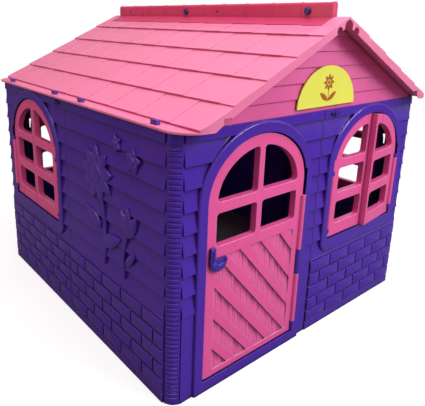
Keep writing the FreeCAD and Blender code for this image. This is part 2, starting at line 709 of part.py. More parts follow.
def latch_handle():
    """Bent lever on a shaft that passes through the door's stile."""
    front = -LEAF_OUT - LATCH_GAP - LATCH_T
    back = -LEAF_OUT - LATCH_GAP
    half = LATCH_W / 2
    low = -LATCH_LOW
    upright = box(-half, half, front, back, low, LATCH_ARM)
    level = box(-half, LATCH_ARM, front, back, low, half)
    lever = fuse([upright, level])

    def outer_bend(edge):
        corner = edge.BoundBox
        return runs_along_y(edge) and corner.XMax < -half + 1 and corner.ZMax < low + 1

    lever = round_edges(lever, LATCH_BEND, outer_bend)
    lever = round_edges(lever, LATCH_R, lambda edge: runs_along_y(edge) and edge.Length < LATCH_T + 0.1)
    lever = round_edges(lever, LATCH_SOFT, lambda edge: edge.BoundBox.YMax < front + 0.1)
    rib = box(-LATCH_RIB, LATCH_RIB, front - 4, front + 1, -half + 6, LATCH_ARM - 12)
    hub = rod(0, front - 5, 0, half - 4, 6, Vec(0, 1, 0))
    shaft_end = LEAF_BACK + STOP_GAP + STOP_T + TONGUE_GAP + TONGUE_T
    shaft = rod(0, front + 1, 0, SHAFT_R, shaft_end - front - 1, Vec(0, 1, 0))
    lever = fuse([lever, rib, hub, shaft])
    screw_hole = rod(0, shaft_end - 12, 0, 2.2, 13, Vec(0, 1, 0))
    lever = cut(lever, [screw_hole])
    lever.translate(Vec(LATCH_X, 0, LATCH_Z))
    return lever


def latch_tongue():
    """Plate behind the door that turns with the lever: it hangs down when the door is free and
    points sideways, behind the surround, when it is latched."""
    back = LEAF_BACK + STOP_GAP + STOP_T + TONGUE_GAP
    start = LEAF_BACK + LATCH_GAP
    hub = rod(0, start, 0, SHAFT_R + 6, back + TONGUE_T - start, Vec(0, 1, 0))
    plate = box(-TONGUE_W / 2, TONGUE_W / 2, back, back + TONGUE_T, -TONGUE_REACH, 0)
    tongue = fuse([hub, plate])
    tongue = cut(tongue, [rod(0, -BIG, 0, SHAFT_R + 0.05, 2 * BIG, Vec(0, 1, 0))])
    tongue.translate(Vec(LATCH_X, 0, LATCH_Z))
    return tongue


def latch_screw():
    back = LEAF_BACK + STOP_GAP + STOP_T + TONGUE_GAP + TONGUE_T
    head = rod(0, back + 0.1, 0, SHAFT_R + 3, 2.5, Vec(0, 1, 0))
    thread = rod(0, back - 10, 0, 2.0, 11, Vec(0, 1, 0))
    screw = fuse([head, thread])
    screw.translate(Vec(LATCH_X, 0, LATCH_Z))
    return screw


# ---------------------------------------------------------------- gables and plate

def sheet_z(x):
    """Height of the top of the roof sheet at a distance from the ridge."""
    return RIDGE_Z - SLOPE * abs(x)


def gable_block(inset, back):
    """Triangle under the roof sheet with its sharp lower corners cut off upright."""
    low = WALL_H + PIECE_GAP + inset
    top = RIDGE_Z - ROOF_T - GABLE_GAP - inset / COS_SLOPE
    tip = (top - low) / SLOPE
    half = GABLE_HALF - inset
    block = prism_y([(-tip, low), (tip, low), (0, top)], -50, back)
    return block.common(box(-half, half, -50, back, low, top))


def gable_section(shift):
    points = [(-GABLE_OUT, RIDGE_Z + 10)]
    for i in range(GABLE_COUNT, 0, -1):
        low = WALL_H + GABLE_PITCH * i
        points.append((-GABLE_OUT, low))
        points.append((GABLE_IN, low))
    points.append((-GABLE_OUT, WALL_H - 10))
    points.append((BIG, WALL_H - 10))
    points.append((BIG, RIDGE_Z + 10))
    return [(y + shift, z + shift) for y, z in points]


def gable():
    reach = GABLE_HALF + 10
    block = prism_x(gable_section(0), -reach, reach)
    block = block.common(gable_block(0, GABLE_DEPTH))
    hollow = prism_x(gable_section(WALL_T), -reach, reach)
    hollow = hollow.common(gable_block(WALL_T, BIG))
    pegs = [rod(x, -50, PLATE_Z + PEG_LIFT, PEG_R + 0.2, 100, Vec(0, 1, 0)) for x in (-PEG_X, PEG_X)]
    return cut(block, [hollow] + pegs)


def gable_plate():
    """Half-round plate in front of the gable, held by two pegs."""
    back = -GABLE_OUT - 0.2
    ellipse = Part.Ellipse(Vec(0, back, PLATE_Z), PLATE_HALF, PLATE_H).toShape()
    disc = Part.Face(Part.Wire([ellipse]))
    disc.rotate(Vec(0, back, PLATE_Z), Vec(1, 0, 0), 90)
    plate = disc.extrude(Vec(0, -PLATE_T, 0))
    plate = plate.common(box(-BIG, BIG, -BIG, BIG, PLATE_Z, BIG))
    length = GABLE_OUT + WALL_T + 3
    pegs = [rod(x, back - 1, PLATE_Z + PEG_LIFT, PEG_R, length, Vec(0, 1, 0)) for x in (-PEG_X, PEG_X)]
    return fuse([plate] + pegs)


# ---------------------------------------------------------------- roof

def on_slope(along, up):
    """Point of the right slope: distance down from the ridge, and height off the sheet."""
    return (along * COS_SLOPE + up * SIN_SLOPE, RIDGE_Z - along * SIN_SLOPE + up * COS_SLOPE)


def course_marks():
    end = EAVE_FOLD / COS_SLOPE
    marks = [0.0]
    while marks[-1] + COURSE * 1.3 < end:
        marks.append(marks[-1] + COURSE)
    marks.append(end)
    return marks


def courses(y0, y1, thin, thick, start):
    """Wedge-shaped courses, each thickest at its lower edge."""
    marks = course_marks()
    solids = []
    for high, low in zip(marks, marks[1:]):
        first = max(high, start)
        section = [on_slope(first, -1), on_slope(first, thin), on_slope(low, thick), on_slope(low, -1)]
        solids.append(prism_y(section, y0, y1))
    return solids


def tile_joints():
    """Grooves between the tiles of a course; every second course is shifted by half a tile."""
    marks = course_marks()
    pitch = 2 * FIELD_HALF_L / TILES
    grooves = []
    for row, (high, low) in enumerate(zip(marks, marks[1:])):
        shift = 0 if row % 2 else pitch / 2
        floor = 0.8
        section = [on_slope(high + 2, floor), on_slope(high + 2, 20), on_slope(low + 5, 20),
                   on_slope(low + 5, floor)]
        for tile in range(TILES + 1):
            y = -FIELD_HALF_L + shift + tile * pitch
            if abs(y) < FIELD_HALF_L - 10:
                grooves.append(prism_y(section, y - TILE_JOINT / 2, y + TILE_JOINT / 2))
    return grooves


def roof_column(inset):
    """Plan of one roof half with its two rounded outer corners."""
    width = ROOF_HALF_W - inset
    length = ROOF_HALF_L - inset
    plan = box(PIECE_GAP / 2, width, -length, length, 0, BIG)

    def outer_corner(edge):
        ends = [v.Point for v in edge.Vertexes]
        upright = abs(ends[0].x - ends[1].x) < 0.01 and abs(ends[0].y - ends[1].y) < 0.01
        return upright and ends[0].x > width - 1

    return round_edges(plan, ROOF_CORNER_R - inset, outer_corner)


def roof_half():
    """Right half of the roof; the left one is its mirror image."""
    length = ROOF_HALF_L + 10
    outer = roof_column(0)
    inner = roof_column(ROOF_T)
    top = [(0, RIDGE_Z), (EAVE_FOLD, EAVE_Z), (ROOF_HALF_W + 5, EAVE_Z)]
    under = [(x, z - ROOF_T) for x, z in reversed(top)]
    sheet = prism_y(top + under, -length, length)
    lip_z = WALL_H + PIECE_GAP
    lip_flat = ROOF_HALF_W - LIP_FLAT
    notch_end = ROOF_HALF_W - NOTCH_END
    skirt_under = [(ROOF_HALF_W + 5, lip_z), (lip_flat, lip_z + 2),
                   (notch_end, sheet_z(notch_end) - FASCIA_H), (0, RIDGE_Z - FASCIA_H)]
    skirt = prism_y(top + skirt_under, -length, length).common(outer.cut(inner))
    skirt = skirt.common(box(0, BIG, -BIG, BIG, 0, BIG))
    seat_l = SPAN / 2 - SEAT_CUT
    seat = box(SPAN / 2 - 1 - SEAT_W, SPAN / 2 - 1, -seat_l, seat_l, lip_z, EAVE_Z - 1)
    notch_top = sheet_z(notch_end) - ROOF_T - 3
    cuts = []
    for sign in (-1, 1):
        y0, y1 = sorted((sign * (ROOF_HALF_L - ROOF_T - 2), sign * length))
        cuts.append(box(ROOF_HALF_W - FASCIA_END, notch_end, y0, y1, 0, notch_top))
        for x, radius in ((0, SCALLOP_R), (SCALLOP_R + 8 + SCALLOP_SIDE_R, SCALLOP_SIDE_R)):
            z = sheet_z(x) - ROOF_T - 1 - radius
            cuts.append(rod(x, y0, z, radius, y1 - y0, Vec(0, 1, 0)))
    skirt = skirt.cut(cuts)
    upstand = box(PIECE_GAP / 2, UPSTAND_T + PIECE_GAP / 2, -FIELD_HALF_L + 4, FIELD_HALF_L - 4,
                  RIDGE_Z - ROOF_T, RIDGE_Z + UPSTAND_H)
    field = courses(-FIELD_HALF_L, FIELD_HALF_L, TILE_THIN, TILE_THICK, CAP_FLANGE + 2)
    field = [tile for course in field for tile in course.cut(tile_joints()).Solids]
    verges = []
    for y0, y1 in ((-length, -FIELD_HALF_L), (FIELD_HALF_L, length)):
        verges += [strip.common(outer) for strip in courses(y0, y1, VERGE_THIN, VERGE_THICK, 0)]
    roof = fuse([sheet.common(outer), skirt, seat, upstand] + field + verges)
    slots = []
    for y in TAB_Y:
        for sign in (-1, 1):
            x = SPAN / 2 - TAB_IN - TAB_T
            wide = TAB_W / 2 + TAB_CLEAR
            slots.append(box(x - TAB_CLEAR, x + TAB_T + TAB_CLEAR, sign * y - wide, sign * y + wide, 0, BIG))
    for y in ridge_bolt_places():
        slots.append(rod(-50, y, ridge_bolt_z(), BOLT_R + FIT, 100, Vec(1, 0, 0)))
    return cut(roof, slots)


# ---------------------------------------------------------------- ridge caps and bolts

def cap_length():
    return FIELD_HALF_L - PIECE_GAP


def ridge_bolt_z():
    return RIDGE_Z + UPSTAND_H - 12


def ridge_bolt_places():
    end = cap_length()
    return [-end + BOLT_IN, -BOLT_IN, BOLT_IN, end - BOLT_IN]


def cap_outline(grow):
    """Section of the crest: upright sides under a half-round top."""
    half = CAP_HALF + grow
    shoulder = CAP_TOP - CAP_HALF
    arc = Part.Arc(Vec(half, 0, shoulder), Vec(0, 0, shoulder + half), Vec(-half, 0, shoulder)).toShape()
    corners = [Vec(-half, 0, shoulder), Vec(-half, 0, RIDGE_Z - 20), Vec(half, 0, RIDGE_Z - 20),
               Vec(half, 0, shoulder)]
    lines = [Part.LineSegment(a, b).toShape() for a, b in zip(corners, corners[1:])]
    return Part.Face(Part.Wire([arc] + lines))


def crest(grow, y0, y1):
    face = cap_outline(grow)
    face.translate(Vec(0, y0, 0))
    return face.extrude(Vec(0, y1 - y0, 0))


def ridge_cap():
    """Front half of the ridge: a hollow crest, closed at its outer end, on two flanges."""
    y0 = -cap_length()
    y1 = -PIECE_GAP / 2
    solids = [crest(0, y0, y1), crest(CAP_RIM_OUT, y0, y0 + CAP_RIM), crest(CAP_RIM_OUT, y1 - CAP_RIM, y1)]
    y = y0 + CAP_RIB_PITCH
    while y < y1 - CAP_RIM - 20:
        solids.append(crest(CAP_RIM_OUT, y - 3, y + 3))
        y += CAP_RIB_PITCH
    for sign in (-1, 1):
        section = [on_slope(0, 0.2), on_slope(CAP_FLANGE, 0.2), on_slope(CAP_FLANGE, CAP_T),
                   on_slope(0, CAP_T + 3)]
        section = [(sign * x, z) for x, z in section]
        solids.append(prism_y(section, y0, y1))
    cap = fuse(solids)
    under = prism_y([(-200, sheet_z(200) + 0.2), (0, RIDGE_Z + 0.2), (200, sheet_z(200) + 0.2), (200, 0),
                     (-200, 0)], -BIG, BIG)
    hollow = crest(-CAP_T, y0 + CAP_T, y1 + 1)
    cap = cut(cap, [under, hollow])
    holes = [rod(-50, y, ridge_bolt_z(), BOLT_R + FIT, 100, Vec(1, 0, 0)) for y in ridge_bolt_places()]
    return cut(cap, holes)


def ridge_bolt(y, from_left):
    """Plastic bolt across the crest with a domed head."""
    seat = CAP_HALF + 0.2
    z = ridge_bolt_z()
    shank = rod(-seat, y, z, BOLT_R, 2 * seat - 0.4, Vec(1, 0, 0))
    head = rod(-seat - BOLT_HEAD_H, y, z, BOLT_HEAD_R, BOLT_HEAD_H, Vec(1, 0, 0))
    head = round_edges(head, 3.0, lambda edge: edge.BoundBox.XMax < -seat - 1 and edge.BoundBox.ZLength > 5)
    bolt = fuse([shank, head])
    if not from_left:
        bolt = bolt.mirror(Vec(0, 0, 0), Vec(1, 0, 0))
    return bolt


def ridge_bolts():
    return Part.Compound([ridge_bolt(y, i % 2 == 0) for i, y in enumerate(ridge_bolt_places())])


# ---------------------------------------------------------------- the whole house

def build():
    nodes = {}
    corners = ["front_left", "front_right", "back_right", "back_left"]
    post = corner_post()
    for quarter, name in enumerate(corners):
        turned = post.copy()
        turned.rotate(Vec(0, 0, 0), Vec(0, 0, 1), 90 * quarter)
        nodes["corner_post_" + name] = turned

    nodes["wall_front_door"] = on_wall(door_panel(), 0, -PANEL_MID)
    nodes["wall_front_window"] = on_wall(window_panel(1, False), 0, PANEL_MID)
    nodes["wall_right_window"] = on_wall(window_panel(-1, True), 1, -PANEL_MID)
    nodes["wall_right_plain"] = on_wall(plain_panel(1, True), 1, PANEL_MID)
    nodes["wall_back_plain"] = on_wall(plain_panel(-1, False), 2, -PANEL_MID)
    nodes["wall_back_window"] = on_wall(window_panel(1, False), 2, PANEL_MID)
    nodes["wall_left_window"] = on_wall(window_panel(-1, True), 3, -PANEL_MID)
    nodes["wall_left_plain"] = on_wall(plain_panel(1, True), 3, PANEL_MID)
    nodes["panel_bolts"] = panel_bolts()

    nodes["door_leaf"] = on_wall(door_leaf(), 0, -PANEL_MID)
    pin = post_rod(HINGE_X, -HINGE_OUT, PIN_R, DOOR_PIN[0], DOOR_PIN[1])
    nodes["door_hinge_pin"] = on_wall(pin, 0, -PANEL_MID)
    nodes["latch_handle"] = on_wall(latch_handle(), 0, -PANEL_MID)
    nodes["latch_tongue"] = on_wall(latch_tongue(), 0, -PANEL_MID)
    nodes["latch_screw"] = on_wall(latch_screw(), 0, -PANEL_MID)

    windows = [("front", 0, 1), ("right", 1, -1), ("back", 2, 1), ("left", 3, -1)]
    leaves = {-1: shutter(-1), 1: shutter(1)}
    pins = []
    hooks = []
    for name, side, side_of_joint in windows:
        middle = side_of_joint * PANEL_MID
        hooks.append(on_wall(panel_hook(hook_place(side_of_joint)), side, middle))
        for sign, hand in ((-1, "left"), (1, "right")):
            leaf = leaves[sign].copy()
            if name == "front" and sign > 0:
                leaf.rotate(Vec(HINGE_X, -HINGE_OUT, 0), Vec(0, 0, 1), SHUTTER_AJAR)
            nodes["shutter_" + name + "_" + hand] = on_wall(leaf, side, middle)
            pins.append(on_wall(shutter_pin(sign * HINGE_X), side, middle))
    nodes["shutter_pins"] = Part.Compound(pins)
    nodes["panel_hooks"] = Part.Compound(hooks)

    front_gable = gable()
    nodes["gable_front"] = on_wall(front_gable, 0, 0)
    nodes["gable_back"] = on_wall(front_gable, 2, 0)
    nodes["gable_plate"] = on_wall(gable_plate(), 0, 0)

    half = roof_half()
    nodes["roof_right"] = half
    nodes["roof_left"] = half.mirror(Vec(0, 0, 0), Vec(1, 0, 0))
    cap = ridge_cap()
    nodes["ridge_cap_front"] = cap
    nodes["ridge_cap_back"] = cap.mirror(Vec(0, 0, 0), Vec(0, 1, 0))
    nodes["ridge_bolts"] = ridge_bolts()
    return nodes


os.makedirs("parts", exist_ok=True)
for node_name, node_shape in build().items():
    if not node_shape.isValid():
        print("not valid:", node_name)
    node_shape.exportStep("parts/" + node_name + ".step")
    size = node_shape.BoundBox
    print("%-24s solids %2d  faces %4d  volume %9.0f  x %.1f %.1f  y %.1f %.1f  z %.1f %.1f" % (
        node_name, len(node_shape.Solids), len(node_shape.Faces), node_shape.Volume,
        size.XMin, size.XMax, size.YMin, size.YMax, size.ZMin, size.ZMax))
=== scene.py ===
import math
import random

import bpy
from mathutils import Matrix, Vector


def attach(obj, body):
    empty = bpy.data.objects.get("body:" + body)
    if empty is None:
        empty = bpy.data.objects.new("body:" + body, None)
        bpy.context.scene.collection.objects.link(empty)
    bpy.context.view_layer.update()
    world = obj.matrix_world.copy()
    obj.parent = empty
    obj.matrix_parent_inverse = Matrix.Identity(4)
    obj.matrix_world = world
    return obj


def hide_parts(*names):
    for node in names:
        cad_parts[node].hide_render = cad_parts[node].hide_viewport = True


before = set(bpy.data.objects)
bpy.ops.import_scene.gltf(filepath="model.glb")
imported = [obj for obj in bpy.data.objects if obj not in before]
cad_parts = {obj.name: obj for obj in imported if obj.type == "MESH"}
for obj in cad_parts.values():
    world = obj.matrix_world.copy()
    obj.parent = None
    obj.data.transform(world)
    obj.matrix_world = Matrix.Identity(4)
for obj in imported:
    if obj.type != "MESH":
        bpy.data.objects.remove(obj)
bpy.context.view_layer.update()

# ---- Studio: camera, floor and lights
# A standing adult's view of the front left corner, a pale floor that runs out of sight,
# a soft light overhead, a strong one in front and a warm one on the left.

scene = bpy.context.scene
scene.view_settings.view_transform = "Standard"

EYE = Vector((-1.3553, -1.5615, 1.1250))
LOOK = Vector((0.6124, 0.7439, -0.2677)).normalized()
ROLL = math.radians(1.30)
SENSOR = 36.0
FOCAL = 40.09
SHIFT = (0.060, -0.115)


def add_object(name, data):
    made = bpy.data.objects.new(name, data)
    scene.collection.objects.link(made)
    return made


def aim(thing, place, direction, roll=0.0):
    """Stand a lamp or the camera at a place, looking along a direction."""
    side = direction.cross(Vector((0, 0, 1))).normalized()
    up = side.cross(direction)
    turn = Matrix((side, up, -direction)).transposed().to_4x4()
    thing.matrix_world = Matrix.Translation(place) @ turn @ Matrix.Rotation(roll, 4, "Z")


lens = bpy.data.cameras.new("camera")
lens.sensor_width = SENSOR
lens.lens = FOCAL
lens.shift_x, lens.shift_y = SHIFT
camera = add_object("camera", lens)
aim(camera, EYE, LOOK, ROLL)
scene.camera = camera


def new_material(name):
    """Material with an empty node tree and its output."""
    material = bpy.data.materials.new(name)
    material.use_nodes = True
    tree = material.node_tree
    tree.nodes.clear()
    return material, tree, tree.nodes.new("ShaderNodeOutputMaterial")


def node(tree, kind, **settings):
    """Add a shader node and set its properties; names starting with in_ set its sockets."""
    made = tree.nodes.new(kind)
    for key, value in settings.items():
        if key.startswith("in_"):
            made.inputs[key[3:].replace("_", " ")].default_value = value
        else:
            setattr(made, key, value)
    return made


def map_range(tree, source, low, high, to_low=0.0, to_high=1.0, smooth=False):
    """Carry a value from one range to another, held at the ends."""
    made = node(tree, "ShaderNodeMapRange")
    if smooth:
        made.interpolation_type = "SMOOTHSTEP"
    made.inputs["From Min"].default_value = low
    made.inputs["From Max"].default_value = high
    made.inputs["To Min"].default_value = to_low
    made.inputs["To Max"].default_value = to_high
    tree.links.new(source, made.inputs["Value"])
    return made.outputs[0]


def combine(tree, operation, first, second):
    """One value from two, by a sum, product, minimum or maximum."""
    made = node(tree, "ShaderNodeMath", operation=operation)
    for socket, source in zip(made.inputs, (first, second)):
        if isinstance(source, float):
            socket.default_value = source
        else:
            tree.links.new(source, socket)
    return made.outputs[0]


def fold_axes(tree, coords):
    """Distances from the two middle planes of the house, across and along."""
    folded = node(tree, "ShaderNodeVectorMath", operation="ABSOLUTE")
    axes = node(tree, "ShaderNodeSeparateXYZ")
    tree.links.new(coords.outputs["Object"], folded.inputs[0])
    tree.links.new(folded.outputs[0], axes.inputs[0])
    return axes.outputs["X"], axes.outputs["Y"]


FLOOR_REACH = 40.0
FLOOR_LEVEL = -0.0005
FLOOR_GLOW = 0.74
FLOOR_TONES = ((0.38, 0.37, 0.38, 1), (0.43, 0.42, 0.42, 1))
HOUSE_HALF = 0.636
HOUSE_SOFT = 0.005
HOUSE_CORNER = 0.512
INDOOR_PAINTED_SHADE = 0.55
BOUNCE = 0.45
FADE_FROM = 1.1
FADE_TO = 2.6


def pale_floor():
    """Pale floor that fades to white far off, with shade painted on it inside the house."""
    material, tree, out = new_material("pale_floor")
    link = tree.links.new
    coords = node(tree, "ShaderNodeTexCoord")
    rays = node(tree, "ShaderNodeLightPath")
    across, along = fold_axes(tree, coords)
    slanted = combine(tree, "MULTIPLY", combine(tree, "ADD", across, along), HOUSE_CORNER)
    from_middle = combine(tree, "MAXIMUM", combine(tree, "MAXIMUM", across, along), slanted)
    outdoors = map_range(tree, from_middle, HOUSE_HALF, HOUSE_HALF + HOUSE_SOFT)

    cloud = node(tree, "ShaderNodeTexNoise", in_Scale=2.5, in_Detail=3.0)
    tones = node(tree, "ShaderNodeMix", data_type="RGBA")
    tones.inputs[6].default_value, tones.inputs[7].default_value = FLOOR_TONES
    link(coords.outputs["Object"], cloud.inputs["Vector"])
    link(cloud.outputs["Fac"], tones.inputs[0])
    shaded = node(tree, "ShaderNodeVectorMath", operation="SCALE")
    # Painted shade: inside the house's footprint the floor's colour is darkened.
    shade = map_range(tree, outdoors, 0.0, 1.0, INDOOR_PAINTED_SHADE)
    bounce = map_range(tree, rays.outputs["Is Camera Ray"], 0.0, 1.0, BOUNCE)
    link(tones.outputs[2], shaded.inputs[0])
    link(combine(tree, "MULTIPLY", shade, bounce), shaded.inputs["Scale"])

    matt = node(tree, "ShaderNodeBsdfDiffuse")
    glow = node(tree, "ShaderNodeEmission", in_Color=(1, 1, 1, 1), in_Strength=FLOOR_GLOW)
    lit = node(tree, "ShaderNodeAddShader")
    haze = node(tree, "ShaderNodeEmission", in_Color=(1, 1, 1, 1), in_Strength=1.0)
    far_off = node(tree, "ShaderNodeMixShader")
    pick = node(tree, "ShaderNodeMixShader")
    distance = node(tree, "ShaderNodeVectorMath", operation="LENGTH")
    link(coords.outputs["Object"], distance.inputs[0])
    link(shaded.outputs[0], matt.inputs["Color"])
    link(matt.outputs[0], lit.inputs[0])
    link(glow.outputs[0], lit.inputs[1])
    link(map_range(tree, distance.outputs["Value"], FADE_FROM, FADE_TO, smooth=True),
         far_off.inputs[0])
    link(lit.outputs[0], far_off.inputs[1])
    link(haze.outputs[0], far_off.inputs[2])
    link(combine(tree, "MULTIPLY", rays.outputs["Is Camera Ray"], outdoors), pick.inputs[0])
    link(matt.outputs[0], pick.inputs[1])
    link(far_off.outputs[0], pick.inputs[2])
    link(pick.outputs[0], out.inputs["Surface"])
    return material


sheet = bpy.data.meshes.new("floor")
sheet.from_pydata([(x, y, FLOOR_LEVEL) for x, y in (
    (-FLOOR_REACH, -FLOOR_REACH), (FLOOR_REACH, -FLOOR_REACH),
    (FLOOR_REACH, FLOOR_REACH), (-FLOOR_REACH, FLOOR_REACH))], [], [(0, 1, 2, 3)])
sheet.materials.append(pale_floor())
add_object("floor", sheet)

ROOM_STRENGTH = 0.60
BRIGHT_SIDE = (0.62, -0.62, 0.48)
BRIGHT_TURN = (-0.45, 0.65)
ROOM_HUES = ((0.42, 0.30, 0.30, 1), (0.94, 0.96, 1.0, 1))

world = bpy.data.worlds.new("studio")
scene.world = world
world.use_nodes = True
sky = world.node_tree
sky.nodes.clear()
sky_out = sky.nodes.new("ShaderNodeOutputWorld")
room_light = node(sky, "ShaderNodeBackground", in_Strength=ROOM_STRENGTH)
directions = node(sky, "ShaderNodeTexCoord")
bright_side = node(sky, "ShaderNodeVectorMath", operation="DOT_PRODUCT")
bright_side.inputs[1].default_value = BRIGHT_SIDE
sky.links.new(directions.outputs["Generated"], bright_side.inputs[0])
hues = node(sky, "ShaderNodeMix", data_type="RGBA")
hues.inputs[6].default_value, hues.inputs[7].default_value = ROOM_HUES
sky.links.new(map_range(sky, bright_side.outputs["Value"], *BRIGHT_TURN, smooth=True),
              hues.inputs[0])
sky.links.new(hues.outputs[2], room_light.inputs["Color"])
white = node(sky, "ShaderNodeBackground", in_Color=(1, 1, 1, 1), in_Strength=1.0)
rays = node(sky, "ShaderNodeLightPath")
blend_sky = node(sky, "ShaderNodeMixShader")
sky.links.new(combine(sky, "MAXIMUM", rays.outputs["Is Camera Ray"],
                      rays.outputs["Is Transmission Ray"]), blend_sky.inputs[0])
sky.links.new(room_light.outputs[0], blend_sky.inputs[1])
sky.links.new(white.outputs[0], blend_sky.inputs[2])
sky.links.new(blend_sky.outputs[0], sky_out.inputs["Surface"])

LIT_MIDDLE = Vector((0, 0, 0.6))
for name, place, size, power, tint in (
    ("light_overhead", Vector((-0.5, -0.7, 3.6)), 2.6, 66.0, (1.0, 0.98, 0.97)),
    ("light_front", Vector((1.4, -3.5, 3.0)), 2.2, 110.0, (0.98, 0.97, 1.0)),
    ("light_left", Vector((-3.8, 0.8, 1.6)), 3.0, 32.0, (1.0, 0.60, 0.50)),
):
    lamp = bpy.data.lights.new(name, "AREA")
    lamp.size = size
    lamp.energy = power
    lamp.color = tint
    aim(add_object(name, lamp), place, (LIT_MIDDLE - place).normalized())

# ---- Violet mouldings: wall panels
# Thin trays of glossy moulded polypropylene, a little wavy where the sheet is large, with painted
# highlights on the arrises and painted shade in the laps. They are bolted to each other through
# their rims.


def srgb(code):
    """Linear colour of a written one such as 5037a6."""
    parts = [int(code[i:i + 2], 16) / 255 for i in (0, 2, 4)]
    linear = [c / 12.92 if c <= 0.04045 else ((c + 0.055) / 1.055) ** 2.4 for c in parts]
    return (*linear, 1.0)


MOTTLE = 0.10
CREVICE = (0.34, 0.90)
CREVICE_REACH = 0.020
ARRIS_TURN = (0.98, 0.80)
GLOSS_SPREAD = (-0.05, 0.06)
COAT = 0.50
COAT_ROUGHNESS = 0.12
SEAM_SOFT = 0.0001
PEEL = 0.00012


def moulded(name, colour, deep, edge, roughness, wave=0.0009, arris=0.0016, shine=0.55,
            seam=0.0):
    """Moulded plastic: mottled base, painted lap shade and arris highlights, sheet waves, orange
    peel.

    A seam is the width of the dark joint where two mouldings meet in a middle plane.
    """
    material, tree, out = new_material(name)
    link = tree.links.new
    coords = node(tree, "ShaderNodeTexCoord")
    mottle = node(tree, "ShaderNodeTexNoise", in_Scale=7.0, in_Detail=4.0, in_Roughness=0.6)
    flow = node(tree, "ShaderNodeMapping")
    flow.inputs["Scale"].default_value = (1.0, 1.0, 0.4)
    streak = node(tree, "ShaderNodeTexNoise", in_Scale=12.0, in_Detail=0.0)
    link(coords.outputs["Object"], mottle.inputs["Vector"])
    link(coords.outputs["Object"], flow.inputs["Vector"])
    link(flow.outputs[0], streak.inputs["Vector"])

    base = srgb(colour)[:3]
    tones = node(tree, "ShaderNodeMix", data_type="RGBA")
    tones.inputs[6].default_value = [c * (1 - MOTTLE) for c in base] + [1]
    tones.inputs[7].default_value = [min(1, c * (1 + MOTTLE)) for c in base] + [1]
    link(mottle.outputs["Fac"], tones.inputs[0])

    # Painted shade: ambient occlusion mixes the colour towards deep in laps and crevices; the
    # seam's dark joint takes the same deep colour.
    crevice = node(tree, "ShaderNodeAmbientOcclusion", samples=8, in_Distance=CREVICE_REACH)
    open_share = map_range(tree, crevice.outputs["AO"], *CREVICE)
    if seam:
        nearest = combine(tree, "MINIMUM", *fold_axes(tree, coords))
        off_seam = map_range(tree, nearest, seam * 0.6, seam + SEAM_SOFT, smooth=True)
        open_share = combine(tree, "MULTIPLY", open_share, off_seam)
    painted_lap_shade = node(tree, "ShaderNodeMix", data_type="RGBA")
    painted_lap_shade.inputs[6].default_value = srgb(deep)
    link(open_share, painted_lap_shade.inputs[0])
    link(tones.outputs[2], painted_lap_shade.inputs[7])

    # The rounded normal bends the real reflections at the arrises; on top of that the colour is
    # mixed towards edge there, by up to shine, as a painted highlight.
    rounding = node(tree, "ShaderNodeBevel", samples=4, in_Radius=arris)
    face = node(tree, "ShaderNodeNewGeometry")
    along = node(tree, "ShaderNodeVectorMath", operation="DOT_PRODUCT")
    painted_arris_highlight = node(tree, "ShaderNodeMix", data_type="RGBA")
    painted_arris_highlight.inputs[7].default_value = srgb(edge)
    link(rounding.outputs[0], along.inputs[0])
    link(face.outputs["Normal"], along.inputs[1])
    link(map_range(tree, along.outputs["Value"], *ARRIS_TURN, 0.0, shine), painted_arris_highlight.inputs[0])
    link(painted_lap_shade.outputs[2], painted_arris_highlight.inputs[6])

    waves = node(tree, "ShaderNodeTexNoise", in_Scale=11.0, in_Detail=1.0)
    skin = node(tree, "ShaderNodeTexNoise", in_Scale=420.0, in_Detail=2.0)
    sheet_bump = node(tree, "ShaderNodeBump", in_Strength=1.0, in_Distance=wave)
    skin_bump = node(tree, "ShaderNodeBump", in_Strength=1.0, in_Distance=PEEL)
    link(coords.outputs["Object"], waves.inputs["Vector"])
    link(coords.outputs["Object"], skin.inputs["Vector"])
    link(waves.outputs["Fac"], sheet_bump.inputs["Height"])
    link(rounding.outputs[0], sheet_bump.inputs["Normal"])
    link(skin.outputs["Fac"], skin_bump.inputs["Height"])
    link(sheet_bump.outputs[0], skin_bump.inputs["Normal"])

    plastic = node(tree, "ShaderNodeBsdfPrincipled", in_IOR=1.49, in_Specular_IOR_Level=0.36,
                   in_Coat_Weight=COAT, in_Coat_Roughness=COAT_ROUGHNESS)
    gloss = [roughness + spread for spread in GLOSS_SPREAD]
    link(sheet_bump.outputs[0], plastic.inputs["Coat Normal"])
    link(painted_arris_highlight.outputs[2], plastic.inputs["Base Color"])
    link(map_range(tree, streak.outputs["Fac"], 0.0, 1.0, *gloss), plastic.inputs["Roughness"])
    link(skin_bump.outputs[0], plastic.inputs["Normal"])
    link(plastic.outputs[0], out.inputs["Surface"])
    return material


def dress(material, *names):
    """Give a moulded finish to nodes of the model."""
    for name in names:
        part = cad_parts[name]
        part.data.materials.clear()
        part.data.materials.append(material)


violet = moulded("violet_moulding", "4e23aa", "14063c", "8c70f0", roughness=0.27, arris=0.0016,
                 shine=0.90, seam=0.0034)
CORNERS = ["front_left", "front_right", "back_right", "back_left"]
SIDES = ["front", "right", "back", "left"]
dress(violet, "wall_front_door", *["wall_" + side + "_window" for side in SIDES],
      "wall_right_plain", "wall_back_plain", "wall_left_plain")

# ---- Corner posts
# Rounded, finely ribbed mouldings of the same violet plastic, bolted to the panels' rims by
# their flanges. The ribs are shallow, so the shade painted in their hollows is kept light.

# Painted shade in the rib hollows, lighter than on the panels; painted highlight on the arrises.
post_violet = moulded("violet_post_moulding", "4b22a6", "3a1a88", "7152d6",
                      roughness=0.27, arris=0.0024)
dress(post_violet, *["corner_post_" + corner for corner in CORNERS])

# ---- Dark violet fittings: bolts, hooks, pins and the latch
# The same plastic with more pigment, glossier because the pieces are small and thick. They
# sit in holes and knuckles moulded into the panels, the leaves and the ridge caps.

ink = moulded("ink_violet_fittings", "2f1c78", "120a38", "5a46b4", roughness=0.28, wave=0.0002)
dress(ink, "panel_bolts", "panel_hooks", "door_hinge_pin", "shutter_pins", "ridge_bolts",
      "latch_handle", "latch_tongue")
